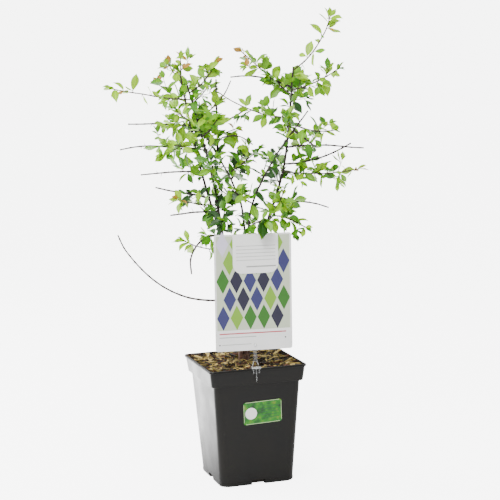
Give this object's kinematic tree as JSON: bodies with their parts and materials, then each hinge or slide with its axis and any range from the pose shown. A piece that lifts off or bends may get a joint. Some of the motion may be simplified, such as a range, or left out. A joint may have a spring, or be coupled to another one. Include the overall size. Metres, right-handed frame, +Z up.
{
  "type": "potted blackthorn",
  "caption": "Young thorny fruit shrub with five stems, leafy sprays and bare twigs, in a square tapered pot of bark mulch with a picture card on a clear holder.",
  "frame": {"origin": "middle of the flat underside of the pot", "axes": "+Z up along the plant; -Y out of the pot's front, which has the card and the sticker; +X to the right seen from the front"},
  "size_m": [0.4881, 0.292, 0.8438],
  "materials": {
    "pot_plastic": "charcoal moulded polypropylene, satin, faintly scuffed",
    "soil": "moist dark compost",
    "mulch": "dry bark and wood chips, straw and brown",
    "bark": "dark brown young bark, satin, with pale dots",
    "foliage": "fresh green leaves, satin, with bronze young tips",
    "card": "white printed card, semi-gloss",
    "clear_plastic": "clear moulded plastic",
    "sticker": "mottled green glossy sticker"
  },
  "bodies": {
    "root": {"pot": "pot_plastic", "soil": "soil", "mulch": "mulch", "trunk": "bark", "stem_left_front": "bark", "stem_left_rear": "bark", "stem_middle": "bark", "stem_right_front": "bark", "stem_right_rear": "bark", "label_card": "card", "label_holder": "clear_plastic", "pot_sticker": "sticker", "spray_left_front_1": "foliage", "spray_left_front_10": "foliage", "spray_left_front_11": "foliage", "spray_left_front_12": "foliage", "spray_left_front_13": "foliage", "spray_left_front_14": "foliage", "spray_left_front_2": "foliage", "spray_left_front_3": "foliage", "spray_left_front_4": "foliage", "spray_left_front_5": "foliage", "spray_left_front_6": "foliage", "spray_left_front_7": "foliage", "spray_left_front_8": "foliage", "spray_left_front_9": "foliage", "spray_left_rear_1": "foliage", "spray_left_rear_2": "foliage", "spray_left_rear_3": "foliage", "spray_left_rear_4": "foliage", "spray_left_rear_5": "foliage", "spray_left_rear_6": "foliage", "spray_left_rear_7": "foliage", "spray_left_rear_8": "foliage", "spray_left_rear_9": "foliage", "spray_middle_1": "foliage", "spray_middle_2": "foliage", "spray_middle_3": "foliage", "spray_middle_4": "foliage", "spray_middle_5": "foliage", "spray_middle_6": "foliage", "spray_right_front_1": "foliage", "spray_right_front_2": "foliage", "spray_right_front_3": "foliage", "spray_right_front_4": "foliage", "spray_right_rear_1": "foliage", "spray_right_rear_10": "foliage", "spray_right_rear_11": "foliage", "spray_right_rear_12": "foliage", "spray_right_rear_13": "foliage", "spray_right_rear_14": "foliage", "spray_right_rear_2": "foliage", "spray_right_rear_3": "foliage", "spray_right_rear_4": "foliage", "spray_right_rear_5": "foliage", "spray_right_rear_6": "foliage", "spray_right_rear_7": "foliage", "spray_right_rear_8": "foliage", "spray_right_rear_9": "foliage"}
  },
  "joints": []
}
